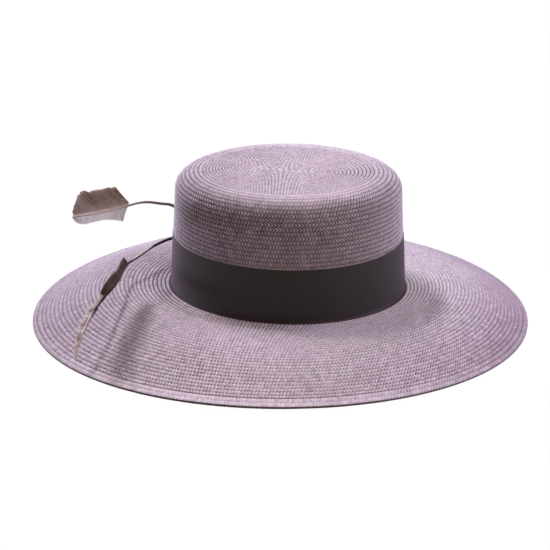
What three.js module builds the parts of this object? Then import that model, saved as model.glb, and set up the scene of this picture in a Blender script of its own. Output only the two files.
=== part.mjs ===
// A wide-brimmed boater of woven straw, lying on its brim, with a ribbon band and two feathers.
// Millimetres, +Z up. The origin is the centre of the brim's outline on the surface below the hat.
import * as THREE from "three";

// Straw: the wall, and the turned hem along the brim's edge
const STRAW_WALL = 2.0;
const HEM_WALL = 2.6;
const HEM_WIDTH = 8.0;

// Crown: its oval is measured on the outside of the straw, where it meets the brim
const CROWN_LENGTH = 203.0;
const CROWN_WIDTH = 164.6;
const CROWN_YAW = THREE.MathUtils.degToRad(-7.8);
const CROWN_CENTRE_X = 6.4;
const CROWN_HEIGHT = 105.6;
const CROWN_DRAFT = 0.047;
const CROWN_LEAN = { x: 0.00018, y: 0.0001 };
const SHOULDER_REACH = 23.6;
const SHOULDER_DROP = 15.7;
const CROWN_FOOT_RADIUS = 2.2;

// Brim: it leaves the crown level, bends down and flattens a little at the hem
const BRIM_LENGTH = 433.0;
const BRIM_WIDTH = 370.5;
const BRIM_FOOT_Z = 32.2;
const BRIM_SIDE_LIFT = 4.3;
const BRIM_PRESSED = 0.25;
const REST_STRIP = 2.0;
const REST_INSET = 0.8;
const BRIM_SLOPE = [
  { share: 0.0, slope: 0.0 },
  { share: 0.28, slope: 0.0 },
  { share: 0.69, slope: 1.0 },
  { share: 0.92, slope: 1.0 },
  { share: 1.0, slope: 0.45 },
];

// Ribbon band and the flat keeper that holds the quills on the far side
const PIECE_GAP = 0.35;
const RIBBON_WIDTH = 46.0;
const RIBBON_THICKNESS = 0.5;
const RIBBON_LIFT = 2.2;
const KEEPER_ANGLE = THREE.MathUtils.degToRad(150);
const KEEPER_WIDTH = 16.0;
const KEEPER_THICKNESS = 0.8;

// Feathers: quill radii, and the blades' thickness
const UPPER_QUILL = { butt: 1.15, tip: 0.55, height: 34.0 };
const LOWER_QUILL = { butt: 1.0, tip: 0.4, height: 20.0 };
const QUILL_STUB = 10.0;
const VANE_THICKNESS = 0.7;

// Routes of the quills from the crown's side outwards, measured from the crown's centre line
// and from the ribbon's lower edge
const UPPER_ROUTE = [
  { x: -100.9, y: 40.0, z: 53.3 },
  { x: -110.8, y: 24.0, z: 62.0 },
  { x: -121.4, y: 7.0, z: 70.3 },
  { x: -128.7, y: -7.0, z: 75.1 },
  { x: -135.5, y: -19.0, z: 77.8 },
  { x: -145.3, y: -35.0, z: 81.2 },
  { x: -156.6, y: -53.0, z: 85.0 },
  { x: -168.3, y: -70.0, z: 89.8 },
  { x: -176.8, y: -85.0, z: 94.8 },
];
const LOWER_ROUTE = [
  { x: -102.0, y: 42.0, z: 21.6 },
  { x: -116.6, y: 32.0, z: 19.1 },
  { x: -128.8, y: 14.0, z: 17.4 },
  { x: -138.8, y: 0.0, z: 15.4 },
  { x: -144.4, y: -36.0, z: 15.9 },
  { x: -150.1, y: -62.0, z: 16.8 },
  { x: -154.7, y: -74.0, z: 16.4 },
  { x: -160.3, y: -90.0, z: 13.7 },
  { x: -165.3, y: -102.0, z: 9.2 },
  { x: -168.9, y: -112.0, z: 3.8 },
  { x: -171.6, y: -117.0, z: -2.9 },
  { x: -175.1, y: -122.0, z: -16.1 },
];

// Vanes: share of the vane's length from its base, width above and below the shaft, and the lean
// of the blade about the shaft in degrees, where 0 stands straight up. The edges above and below
// are swept towards the tip by an angle from the square cut.
const UPPER_VANE_BASE = 4;
const UPPER_SWEEP = { above: THREE.MathUtils.degToRad(57), below: 0 };
const UPPER_VANE = [
  { share: 0.0, above: 22.5, below: 15.4, lean: -15 },
  { share: 0.12, above: 24.3, below: 13.4, lean: -15 },
  { share: 0.35, above: 25.3, below: 8.9, lean: -15 },
  { share: 0.5, above: 25.8, below: 7.9, lean: -15 },
  { share: 0.6, above: 22.7, below: 8.5, lean: -15 },
  { share: 0.7, above: 18.6, below: 9.1, lean: -15 },
  { share: 0.8, above: 13.9, below: 7.0, lean: -15 },
  { share: 0.9, above: 8.8, below: 5.0, lean: -15 },
  { share: 1.0, above: 2.0, below: 2.0, lean: -15 },
];
const LOWER_VANE_BASE = 3;
const LOWER_SWEEP = { above: THREE.MathUtils.degToRad(55), below: 0 };
const LOWER_VANE = [
  { share: 0.0, above: 9.8, below: 0.6, lean: 6 },
  { share: 0.12, above: 12.2, below: 0.6, lean: 6 },
  { share: 0.25, above: 11.8, below: 0.6, lean: 6 },
  { share: 0.38, above: 6.0, below: 0.6, lean: 6 },
  { share: 0.5, above: 4.2, below: 0.6, lean: 10 },
  { share: 0.62, above: 3.8, below: 0.6, lean: 20 },
  { share: 0.75, above: 3.2, below: 0.6, lean: 30 },
  { share: 0.88, above: 2.4, below: 0.6, lean: 35 },
  { share: 1.0, above: 0.8, below: 0.4, lean: 40 },
];

// Mesh density
const SEGMENTS = 64;
const TOP_ROWS = 4;
const SHOULDER_ROWS = 5;
const WALL_ROWS = 3;
const FOOT_ROWS = 3;
const BRIM_SHARES = [0.1, 0.2, 0.3, 0.4, 0.5, 0.6, 0.7, 0.8, 0.88];
const SECTION_CORNERS = 10;
const QUILL_STEPS = 60;

const RIBBON_BOTTOM_Z = BRIM_FOOT_Z + RIBBON_LIFT;
const CROWN_TOP_Z = BRIM_FOOT_Z + CROWN_HEIGHT;

// A point on the crown's oval, moved out by reach
function ovalPoint(angle, reach) {
  const x = (CROWN_LENGTH / 2 + reach) * Math.cos(angle);
  const y = (CROWN_WIDTH / 2 + reach) * Math.sin(angle);
  const cos = Math.cos(CROWN_YAW);
  const sin = Math.sin(CROWN_YAW);
  return new THREE.Vector2(CROWN_CENTRE_X + x * cos - y * sin, x * sin + y * cos);
}

// The crown leans a little: its top is higher towards +X and +Y
function leaned(point, z) {
  const lean = CROWN_LEAN.x * (point.x - CROWN_CENTRE_X) + CROWN_LEAN.y * point.y;
  return new THREE.Vector3(point.x, point.y, z + (z - BRIM_FOOT_Z) * lean);
}

function wallReach(z) {
  return -CROWN_DRAFT * (z - BRIM_FOOT_Z);
}

// Height of the underside where the brim rests: level arcs at its two ends, lifted between them
function restHeight(angle) {
  return Math.max(0, BRIM_SIDE_LIFT * Math.sin(angle) ** 2 - BRIM_PRESSED);
}

// Share of the brim's whole drop that is reached at a share of its width
function dropShare(share) {
  let drop = 0;
  let total = 0;
  for (let i = 1; i < BRIM_SLOPE.length; i++) {
    const from = BRIM_SLOPE[i - 1];
    const to = BRIM_SLOPE[i];
    const width = to.share - from.share;
    const part = Math.min(Math.max((share - from.share) / width, 0), 1);
    drop += width * (from.slope * part + ((to.slope - from.slope) * part * part) / 2);
    total += (width * (from.slope + to.slope)) / 2;
  }
  return drop / total;
}

function rimPoint(angle, inset) {
  const turned = angle + CROWN_YAW;
  const x = (BRIM_LENGTH / 2 - inset) * Math.cos(turned);
  const y = (BRIM_WIDTH / 2 - inset) * Math.sin(turned);
  return new THREE.Vector2(x, y);
}

// The brim's upper surface at a share of the way from the crown's foot to the rim
function brimPoint(angle, share) {
  const foot = ovalPoint(angle, CROWN_FOOT_RADIUS);
  const plan = foot.lerp(rimPoint(angle, 0), share);
  const rimZ = restHeight(angle + CROWN_YAW) + HEM_WALL;
  const z = BRIM_FOOT_Z - (BRIM_FOOT_Z - rimZ) * dropShare(share);
  return new THREE.Vector3(plan.x, plan.y, z);
}

function ring(pointAt) {
  const points = [];
  for (let j = 0; j < SEGMENTS; j++) points.push(pointAt((j / SEGMENTS) * 2 * Math.PI));
  return points;
}

// Rings of the straw's outside, from near the middle of the crown's top to the rim
function strawOutside() {
  const rings = [];
  const shoulderZ = CROWN_TOP_Z - SHOULDER_DROP;
  const flatReach = wallReach(shoulderZ) - SHOULDER_REACH;
  const centre = new THREE.Vector2(CROWN_CENTRE_X, 0);
  for (let i = 1; i < TOP_ROWS; i++) {
    const share = i / TOP_ROWS;
    const at = (angle) => centre.clone().lerp(ovalPoint(angle, flatReach), share);
    rings.push(ring((angle) => leaned(at(angle), CROWN_TOP_Z)));
  }
  for (let i = 0; i <= SHOULDER_ROWS; i++) {
    const turn = ((i / SHOULDER_ROWS) * Math.PI) / 2;
    const reach = flatReach + SHOULDER_REACH * Math.sin(turn);
    const z = shoulderZ + SHOULDER_DROP * Math.cos(turn);
    rings.push(ring((angle) => leaned(ovalPoint(angle, reach), z)));
  }
  const footZ = BRIM_FOOT_Z + CROWN_FOOT_RADIUS;
  for (let i = 1; i <= WALL_ROWS; i++) {
    const z = shoulderZ + ((footZ - shoulderZ) * i) / WALL_ROWS;
    rings.push(ring((angle) => leaned(ovalPoint(angle, wallReach(z)), z)));
  }
  for (let i = 1; i <= FOOT_ROWS; i++) {
    const turn = ((i / FOOT_ROWS) * Math.PI) / 2;
    const reach = CROWN_FOOT_RADIUS * (1 - Math.cos(turn));
    const z = footZ - CROWN_FOOT_RADIUS * Math.sin(turn);
    rings.push(ring((angle) => leaned(ovalPoint(angle, reach), z)));
  }
  for (const share of BRIM_SHARES) rings.push(ring((angle) => brimPoint(angle, share)));
  const hemShare = (angle) => {
    const width = rimPoint(angle, 0).distanceTo(ovalPoint(angle, CROWN_FOOT_RADIUS));
    return 1 - HEM_WIDTH / width;
  };
  rings.push(ring((angle) => brimPoint(angle, hemShare(angle))));
  return rings;
}

// The same rings moved inwards along the surface's normal by the wall's thickness
function strawInside(outside) {
  return outside.map((points, i) =>
    points.map((point, j) => {
      const before = i === 0 ? point : outside[i - 1][j];
      const after = outside[Math.min(i + 1, outside.length - 1)][j];
      const along = after.clone().sub(before);
      const next = points[(j + 1) % SEGMENTS];
      const last = points[(j + SEGMENTS - 1) % SEGMENTS];
      const normal = along.cross(next.clone().sub(last)).normalize();
      const wall = i === outside.length - 1 ? HEM_WALL : STRAW_WALL;
      return point.clone().addScaledVector(normal, -wall);
    }),
  );
}

// The rim: its upper edge, its outermost line and the level strip that the hat rests on
function strawRim() {
  const atRim = (inset, lift) =>
    ring((angle) => {
      const plan = rimPoint(angle, inset);
      return new THREE.Vector3(plan.x, plan.y, restHeight(angle + CROWN_YAW) + lift);
    });
  return [
    atRim(0.6, HEM_WALL),
    atRim(0, HEM_WALL / 2),
    atRim(REST_INSET, 0),
    atRim(REST_INSET + REST_STRIP, 0),
  ];
}

// Closed surface through rings, with one end point before the first and one after the last
function closedSkin(start, rings, end) {
  const count = rings[0].length;
  const points = [start, ...rings.flat(), end];
  const last = points.length - 1;
  const index = [];
  const at = (i, j) => 1 + i * count + ((j + count) % count);
  for (let j = 0; j < count; j++) {
    index.push(0, at(0, j), at(0, j + 1));
    for (let i = 0; i + 1 < rings.length; i++) {
      index.push(at(i, j), at(i + 1, j), at(i + 1, j + 1));
      index.push(at(i, j), at(i + 1, j + 1), at(i, j + 1));
    }
    index.push(last, at(rings.length - 1, j + 1), at(rings.length - 1, j));
  }
  const geometry = new THREE.BufferGeometry().setFromPoints(points);
  geometry.setIndex(index);
  return geometry;
}

function strawBody() {
  const outside = strawOutside();
  const inside = strawInside(outside);
  const top = leaned(new THREE.Vector2(CROWN_CENTRE_X, 0), CROWN_TOP_Z);
  const under = top.clone().setZ(top.z - STRAW_WALL);
  return closedSkin(top, [...outside, ...strawRim(), ...inside.reverse()], under);
}

// Ring of the ribbon at a height above its lower edge, on its inner or outer face
function ribbonRing(height, reach) {
  const z = RIBBON_BOTTOM_Z + height;
  return ring((angle) => leaned(ovalPoint(angle, wallReach(z) + reach), z));
}

// A closed band through four rings: inner bottom, outer bottom, outer top, inner top
function ribbonBand() {
  const outer = PIECE_GAP + RIBBON_THICKNESS;
  const rings = [
    ribbonRing(0, PIECE_GAP),
    ribbonRing(0, outer),
    ribbonRing(RIBBON_WIDTH, outer),
    ribbonRing(RIBBON_WIDTH, PIECE_GAP),
  ];
  const index = [];
  const at = (i, j) => (i % rings.length) * SEGMENTS + (j % SEGMENTS);
  for (let i = 0; i < rings.length; i++)
    for (let j = 0; j < SEGMENTS; j++) {
      index.push(at(i, j), at(i + 1, j + 1), at(i + 1, j));
      index.push(at(i, j), at(i, j + 1), at(i + 1, j + 1));
    }
  const geometry = new THREE.BufferGeometry().setFromPoints(rings.flat());
  geometry.setIndex(index);
  return geometry;
}

// Directions at the keeper: along the ribbon towards the feathers, and out from the crown
function keeperFrame() {
  const step = 0.001;
  const here = ovalPoint(KEEPER_ANGLE, 0);
  const next = ovalPoint(KEEPER_ANGLE + step, 0);
  const along = next.sub(here).normalize();
  const out = new THREE.Vector2(along.y, -along.x);
  return { here, along, out };
}

function keeperPoint(along, out, height) {
  const frame = keeperFrame();
  const z = RIBBON_BOTTOM_Z + height;
  const plan = frame.here.clone();
  plan.addScaledVector(frame.along, along);
  plan.addScaledVector(frame.out, wallReach(z) + PIECE_GAP + RIBBON_THICKNESS + out);
  return leaned(plan, z);
}

// The keeper: a flat strip over the quills whose two ends turn in to the ribbon
function ribbonKeeper() {
  const channel = 2 * UPPER_QUILL.butt + 2 * PIECE_GAP;
  const outer = channel + KEEPER_THICKNESS;
  const lip = KEEPER_THICKNESS;
  const profile = [
    [PIECE_GAP, 0.5],
    [outer, 0.5],
    [outer, RIBBON_WIDTH - 0.5],
    [PIECE_GAP, RIBBON_WIDTH - 0.5],
    [PIECE_GAP, RIBBON_WIDTH - 0.5 - lip],
    [channel, RIBBON_WIDTH - 0.5 - lip],
    [channel, 0.5 + lip],
    [PIECE_GAP, 0.5 + lip],
  ];
  const half = KEEPER_WIDTH / 2;
  const points = [];
  for (const along of [-half, half])
    for (const [out, height] of profile) points.push(keeperPoint(along, out, height));
  const n = profile.length;
  const index = [];
  for (let i = 0; i < n; i++) {
    const next = (i + 1) % n;
    index.push(i, n + next, next);
    index.push(i, n + i, n + next);
  }
  const faces = [
    [0, 1, 6],
    [0, 6, 7],
    [1, 2, 5],
    [1, 5, 6],
    [2, 3, 4],
    [2, 4, 5],
  ];
  for (const [a, b, c] of faces) {
    index.push(a, b, c);
    index.push(n + a, n + c, n + b);
  }
  const geometry = new THREE.BufferGeometry().setFromPoints(points);
  geometry.setIndex(index);
  return geometry;
}

// A quill's whole route: through the keeper, then along its table
function quillCurve(quill, route) {
  const out = PIECE_GAP + quill.butt;
  const first = route[0];
  const exit = new THREE.Vector3(first.x + CROWN_CENTRE_X, first.y, first.z + RIBBON_BOTTOM_Z);
  const middle = keeperPoint(0, out, quill.height);
  const run = exit.clone().sub(middle).length();
  const slope = (exit.z - middle.z) / run;
  const points = [
    keeperPoint(-QUILL_STUB, out, quill.height - QUILL_STUB * slope),
    keeperPoint(-QUILL_STUB / 2, out, quill.height - (QUILL_STUB / 2) * slope),
    middle,
    keeperPoint(KEEPER_WIDTH / 2, out, quill.height + (KEEPER_WIDTH / 2) * slope),
  ];
  for (const p of route)
    points.push(new THREE.Vector3(p.x + CROWN_CENTRE_X, p.y, p.z + RIBBON_BOTTOM_Z));
  return new THREE.CatmullRomCurve3(points, false, "centripetal");
}

// Two directions square to the curve: up, as nearly as it can be, and sideways
function crossFrame(curve, t, lean) {
  const along = curve.getTangent(t);
  const side = along.clone().cross(new THREE.Vector3(0, 0, 1)).normalize();
  const up = side.clone().cross(along).normalize();
  const angle = THREE.MathUtils.degToRad(lean);
  const leanedUp = up.clone().multiplyScalar(Math.cos(angle));
  leanedUp.addScaledVector(side, Math.sin(angle));
  return { along, up: leanedUp, side: along.clone().cross(leanedUp).normalize() };
}

function tableValue(table, share, name) {
  let i = 1;
  while (i < table.length - 1 && table[i].share < share) i++;
  const from = table[i - 1];
  const to = table[i];
  const part = Math.min(Math.max((share - from.share) / (to.share - from.share), 0), 1);
  return from[name] + (to[name] - from[name]) * part;
}

// Ten corners of a bare quill's section, each a height and a distance to the side
function quillSection(radius) {
  const section = [];
  for (let k = 0; k < SECTION_CORNERS; k++) {
    const turn = Math.PI * (1.1 - (2 * k) / SECTION_CORNERS);
    section.push([radius * Math.cos(turn), radius * Math.sin(turn)]);
  }
  return section;
}

// The same ten corners where blades stand above and below the shaft
function vaneSection(radius, above, below) {
  const half = VANE_THICKNESS / 2;
  const low = -radius / 2;
  const high = radius / 3;
  return [
    [-below, -half],
    [-below, half],
    [low, radius],
    [high, radius],
    [above / 2, half],
    [above, half],
    [above, -half],
    [above / 2, -half],
    [high, -radius],
    [low, -radius],
  ];
}

// A feather is one piece: a bare quill that carries its vane from baseT to the tip
function feather(quill, route, table, baseIndex, sweep) {
  const curve = quillCurve(quill, route);
  const pointsBefore = curve.points.length - route.length;
  const baseT = (pointsBefore + baseIndex) / (curve.points.length - 1);
  const rings = [];
  const addRing = (t, lean, section) => {
    const centre = curve.getPoint(t);
    const { along, up, side } = crossFrame(curve, t, lean);
    const place = ([height, out]) => {
      const point = centre.clone().addScaledVector(up, height).addScaledVector(side, out);
      const outside = Math.max(0, Math.abs(height) - 2 * quill.butt);
      const angle = height > 0 ? sweep.above : sweep.below;
      return point.addScaledVector(along, outside * Math.tan(angle));
    };
    rings.push(section.map(place));
  };
  for (let step = 0; step <= QUILL_STEPS; step++) {
    const t = step / QUILL_STEPS;
    const radius = quill.butt + (quill.tip - quill.butt) * t;
    const share = (t - baseT) / (1 - baseT);
    const lean = tableValue(table, share, "lean");
    const started = rings.length > step;
    if (!started && share < 0) addRing(t, lean, quillSection(radius));
    if (share < 0) continue;
    if (!started) addRing(t, lean, quillSection(radius));
    const above = tableValue(table, share, "above");
    const below = tableValue(table, share, "below");
    addRing(t, lean, vaneSection(radius, above, below));
  }
  return closedSkin(curve.getPoint(0), rings, curve.getPoint(1));
}

function mesh(name, geometry, color, roughness) {
  geometry.computeVertexNormals();
  const material = new THREE.MeshStandardMaterial({ color, roughness, metalness: 0 });
  const piece = new THREE.Mesh(geometry, material);
  piece.name = name;
  return piece;
}

const upperFeather = feather(UPPER_QUILL, UPPER_ROUTE, UPPER_VANE, UPPER_VANE_BASE, UPPER_SWEEP);
const lowerFeather = feather(LOWER_QUILL, LOWER_ROUTE, LOWER_VANE, LOWER_VANE_BASE, LOWER_SWEEP);

const hat = new THREE.Group();
hat.add(mesh("straw_body", strawBody(), 0xb6a3b5, 0.7));
hat.add(mesh("ribbon_band", ribbonBand(), 0x2b2523, 0.55));
hat.add(mesh("ribbon_keeper", ribbonKeeper(), 0x2b2523, 0.55));
hat.add(mesh("upper_feather", upperFeather, 0x72594f, 0.6));
hat.add(mesh("lower_feather", lowerFeather, 0x4a3633, 0.6));

export default hat;
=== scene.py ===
"""A wide-brimmed boater of woven straw with a ribbon band and two feathers, lying on its brim.

Metres, +Z up. The origin is the centre of the brim's outline on the surface below the hat.
Every shape that the model has too is repeated here from the same named sizes.
"""

import math

import bpy
import numpy as np
from mathutils import Matrix, Vector


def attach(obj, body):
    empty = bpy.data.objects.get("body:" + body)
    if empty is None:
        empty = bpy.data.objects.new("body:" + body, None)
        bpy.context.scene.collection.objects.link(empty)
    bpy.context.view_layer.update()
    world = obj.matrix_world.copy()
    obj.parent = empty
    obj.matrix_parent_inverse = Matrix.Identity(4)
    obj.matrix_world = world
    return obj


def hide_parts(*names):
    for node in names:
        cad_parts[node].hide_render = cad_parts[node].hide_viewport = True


MM = 0.001

# Camera: where it aims, how far away it is, and where that point lies in the picture
AIM = np.array([6.4, 0.5, 34.4]) * MM
CAMERA_DISTANCE = 2.0
CAMERA_ELEVATION = math.radians(24.28)
PICTURE_PIXELS = 550
FOCAL_PIXELS = 2293.75
AIM_PIXEL = (287.8, 280.2)
CAMERA_ROLL = math.radians(0.27)
SENSOR_MM = 36.0

# Crown: an oval that narrows upwards, with a soft shoulder and a flat top
CROWN_LENGTH = 203.0 * MM
CROWN_WIDTH = 164.6 * MM
CROWN_YAW = math.radians(-7.8)
CROWN_CENTRE_X = 6.4 * MM
CROWN_HEIGHT = 105.6 * MM
CROWN_DRAFT = 0.047
CROWN_LEAN = (0.18, 0.1)
SHOULDER_REACH = 23.6 * MM
SHOULDER_DROP = 15.7 * MM
CROWN_FOOT_RADIUS = 2.2 * MM

# The weave's first row lies round a short line across the flat top
CENTRE_LINE_HALF = 32.0 * MM
CENTRE_LINE_X = CROWN_CENTRE_X - 4.5 * MM
CENTRE_LINE_YAW = math.radians(-14)

# Brim: level at the crown, then bending down to a hem
BRIM_LENGTH = 433.0 * MM
BRIM_WIDTH = 370.5 * MM
BRIM_FOOT_Z = 32.2 * MM
BRIM_SIDE_LIFT = 4.3 * MM
BRIM_PRESSED = 0.25 * MM
BRIM_SLOPE_SHARES = (0.0, 0.28, 0.69, 0.92, 1.0)
BRIM_SLOPES = (0.0, 0.0, 1.0, 1.0, 0.45)
HEM_WIDTH = 8.0 * MM
HEM_WALL = 2.6 * MM
STRAW_WALL = 2.0 * MM

# Steps in which the straw's curves are measured
CURVE_STEPS = 40
WALL_STEPS = 60
BRIM_STEPS = 200
ROUND_STEPS = 720

# Weave: rows on the flat top, down the side, over the brim and on the hem
TOP_ROWS = 14
SIDE_ROWS = 31
BRIM_ROWS = 31
HEM_ROWS = 2
GROOVE_DEPTH = 0.8 * MM
RIDGE_HEIGHT = 0.35 * MM
UNEVEN_HEIGHT = 0.05 * MM
CENTRE_ROW = 0.02

# Each zone's stitches in its first row and how many each next row adds, the slant of a stitch's
# two strands in stitches, and how strong its creases, row edges and rounding are
TOP = {"count": 24, "growth": 10, "slant": 0.25, "crease": 0.5, "edge": 0.7, "round": 0.5}
SIDE = {"count": 170, "growth": 3, "slant": 0.8, "crease": 1.4, "edge": 0.6, "round": 0.45}
BRIM = {"count": 185, "growth": 8, "slant": 0.5, "crease": 0.5, "edge": 0.5, "round": 0.5}

# Where a stitch's points lie across its row and along it, in full and in plain stitches
FINE_ACROSS = np.array([0.0, 0.25, 0.5, 0.75, 1.0])
FINE_ALONG = np.array([0.0, 0.25, 0.5, 0.75])
PLAIN_ACROSS = np.array([0.0, 0.3, 0.7, 1.0])
PLAIN_ALONG = np.array([0.0, 0.5])

# How deep a stitch sinks, and how much painted shade it gets, by its distance from the next one,
# and by the place across its row
HOLLOW_ALONG = ((0, 0.25, 0.5), (1.0, 0.4, 0.0))
HOLE_ACROSS = ((0.5, 0.75, 1.0), (0.0, 1.0, 0.25))
EDGE_ACROSS = ((0, 0.25, 0.75, 1.0), (1, 0, 0, 1))
SEAM_ACROSS = ((0.75, 1.0), (0, 1))
LOOSENESS = (0.7, 1.3)

# The weave over the hat, where deeper places also get more painted shade: fainter row edges on
# its near and far sides, weaker creases at the shoulder, sharper rows at the crown's foot except at
# +X, a sunk row under the ribbon's lower edge painted in shade, and a smoother hem
NEAR_EDGE = 0.45
SHOULDER_CREASE = ((0, 5), (0.35, 1.0))
FOOT_ROWS = 9
FOOT_CREASE_LOSS = 0.2
FOOT_EDGE_GAIN = 0.9
SHARP_ROWS = 4
SHARPNESS = 1.6
RIGHT_SHARPNESS_LOSS = 0.6
FOOT_ROW_SINK_AND_PAINTED_SHADE = 0.45
HEM_SMOOTHNESS = 0.5
END_SEAM_LOSS = 0.6

# The straw's painted shade over the hat, and painted light where it is below 0, where 1 is the
# usual spread between single stitches: on the whole top, on the crown's front and back (light at
# the shoulder), and on the brim by its foot, its ends and its back right. The side's is by row, and
# the brim's at +X is by place from the foot outwards, light at the foot and shade further out
TOP_PAINTED_SHADE = 1.2
SIDE_FACE_PAINTED_LIGHT_AND_SHADE = ((2, 5), (-2.5, 3.8))
FOOT_PAINTED_SHADE = 0.6
BRIM_END_PAINTED_SHADE = 3.8
BRIM_RIGHT_PAINTED_LIGHT_AND_SHADE = ((0, 1), (-5.5, 2.8))
BACK_RIGHT_ANGLE = math.radians(55)
BACK_RIGHT_PAINTED_SHADE = 4.5
BACK_RIGHT_POWER = 3

# The closed wall behind the stitches: its depth, columns, and rows in each zone
CORE_DEPTH = 0.6 * MM
CORE_COLUMNS = 360
CORE_TOP_ROWS = 16
CORE_SIDE_ROWS = 33
CORE_BRIM_ROWS = 30
CORE_HEM_ROWS = 4
CORE_RIM_INSET = 0.2

# The folded rim: the turns of its points, the groove between stitches, and its painted shade by
# height and in its grooves
RIM_TURNS = np.radians([-78, -50, -20, 10, 40, 70, 100])
RIM_GROOVE = 0.12 * MM
RIM_GROOVE_WIDTH = 0.3
RIM_GROOVE_PAINTED_SHADE = 0.35
RIM_PAINTED_SHADES = (1.0, 1.0, 0.6)
LOWEST_RIM = 0.02 * MM

# Ribbon
RIBBON_GAP = 0.35 * MM
RIBBON_THICKNESS = 0.5 * MM
RIBBON_WIDTH = 46.0 * MM
RIBBON_LIFT = 2.2 * MM
RIB_PITCH = 1.25 * MM
RIB_DEPTH = 0.16 * MM
RIB_SHAPE = (1.0, 0.3, 0.3)
THINNEST_RIBBON = 0.1 * MM

# Heights on the ribbon and how deep its ribs are there: shallow along the two selvedges
RIBBON_HEIGHTS = np.array([0.0, 0.5, 1.2, 6, 14, 23, 32, 40, 44.8, 45.5, 46]) * MM
RIB_FULLNESS = np.array([0.3, 0.2, 1, 1, 1, 1, 1, 1, 1, 0.2, 0.3])

# The play in how the ribbon lies: its depth, and its waves round the crown
SLACK = 0.15 * MM
SLACK_WAVES = (5, 11)
SLACK_TURN = 1.0

# Keeper: its place, width and thickness, how far it ends from the ribbon's edges, and its path
# from an end to the middle, as millimetres out from the ribbon and in from the end
KEEPER_ANGLE = math.radians(150)
KEEPER_WIDTH = 16.0 * MM
KEEPER_THICKNESS = 0.5 * MM
KEEPER_INSET = 0.5 * MM
KEEPER_END = ((0.35, 0.0), (1.2, 0.1), (2.4, 1.2), (3.2, 4.0))
KEEPER_STANDOFF = 3.4 * MM

CROWN_TOP_Z = BRIM_FOOT_Z + CROWN_HEIGHT
SHOULDER_Z = CROWN_TOP_Z - SHOULDER_DROP
RIBBON_BOTTOM_Z = BRIM_FOOT_Z + RIBBON_LIFT
SIDE_START = TOP_ROWS
BRIM_START = TOP_ROWS + SIDE_ROWS
HEM_START = BRIM_START + BRIM_ROWS
RIM_ROW = HEM_START + HEM_ROWS

# The row that is as long as the ribbon, the row that its upper edge covers, and the rows at which
# the brim's middle and outer parts begin
RIBBON_ROW = BRIM_START - 5
COVERED_ROW = BRIM_START - 11
BRIM_MIDDLE_ROW = BRIM_START + 12
BRIM_OUTER_ROW = BRIM_START + 22


# Straw surface

def oval_point(angle, reach):
    """A point in plan on the crown's oval, moved out by reach."""
    x = (CROWN_LENGTH / 2 + reach) * np.cos(angle)
    y = (CROWN_WIDTH / 2 + reach) * np.sin(angle)
    cos = math.cos(CROWN_YAW)
    sin = math.sin(CROWN_YAW)
    return CROWN_CENTRE_X + x * cos - y * sin, x * sin + y * cos


def leaned(x, y, z):
    """The crown's top is a little higher towards +X and +Y."""
    lean = CROWN_LEAN[0] * (x - CROWN_CENTRE_X) + CROWN_LEAN[1] * y
    return z + (z - BRIM_FOOT_Z) * lean


def wall_reach(z):
    """How far the crown's wall lies outside its foot at a height."""
    return -CROWN_DRAFT * (z - BRIM_FOOT_Z)


FLAT_REACH = wall_reach(SHOULDER_Z) - SHOULDER_REACH


def side_profile():
    """Reach and height from the flat top's edge over shoulder and wall to the foot, by length."""
    turn = np.linspace(0, math.pi / 2, CURVE_STEPS)
    foot_z = BRIM_FOOT_Z + CROWN_FOOT_RADIUS
    wall_z = np.linspace(SHOULDER_Z, foot_z, WALL_STEPS)[1:-1]
    reach = [FLAT_REACH + SHOULDER_REACH * np.sin(turn), wall_reach(wall_z)]
    height = [SHOULDER_Z + SHOULDER_DROP * np.cos(turn), wall_z]
    reach.append(CROWN_FOOT_RADIUS * (1 - np.cos(turn)))
    height.append(foot_z - CROWN_FOOT_RADIUS * np.sin(turn))
    reach = np.concatenate(reach)
    height = np.concatenate(height)
    steps = np.hypot(np.diff(reach), np.diff(height))
    length = np.concatenate([[0], np.cumsum(steps)])
    return reach, height, length / length[-1]


SIDE_PROFILE = side_profile()


def rim_point(angle, inset):
    """A point in plan on the brim's outline, moved in by inset."""
    turned = angle + CROWN_YAW
    return (BRIM_LENGTH / 2 - inset) * np.cos(turned), (BRIM_WIDTH / 2 - inset) * np.sin(turned)


def rest_height(angle):
    """Height of the rim's underside: level at the two ends, lifted between them."""
    lift = BRIM_SIDE_LIFT * np.sin(angle + CROWN_YAW) ** 2
    return np.maximum(0, lift - BRIM_PRESSED)


def drop_share(share):
    """Share of the brim's whole drop that is reached at a share of its width."""
    fine = np.linspace(0, 1, BRIM_STEPS)
    slope = np.interp(fine, BRIM_SLOPE_SHARES, BRIM_SLOPES)
    drop = np.concatenate([[0], np.cumsum((slope[1:] + slope[:-1]) / 2)])
    return np.interp(share, fine, drop / drop[-1])


def brim_point(angle, share):
    """A point on the brim, at a share of the way from the crown's foot to the rim."""
    foot_x, foot_y = oval_point(angle, CROWN_FOOT_RADIUS)
    rim_x, rim_y = rim_point(angle, 0)
    rim_z = rest_height(angle) + HEM_WALL
    z = BRIM_FOOT_Z - (BRIM_FOOT_Z - rim_z) * drop_share(share)
    return foot_x + (rim_x - foot_x) * share, foot_y + (rim_y - foot_y) * share, z


def hem_share(angle):
    """The share of the brim's width at which the hem begins."""
    foot_x, foot_y = oval_point(angle, CROWN_FOOT_RADIUS)
    rim_x, rim_y = rim_point(angle, 0)
    return 1 - HEM_WIDTH / np.hypot(rim_x - foot_x, rim_y - foot_y)


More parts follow.
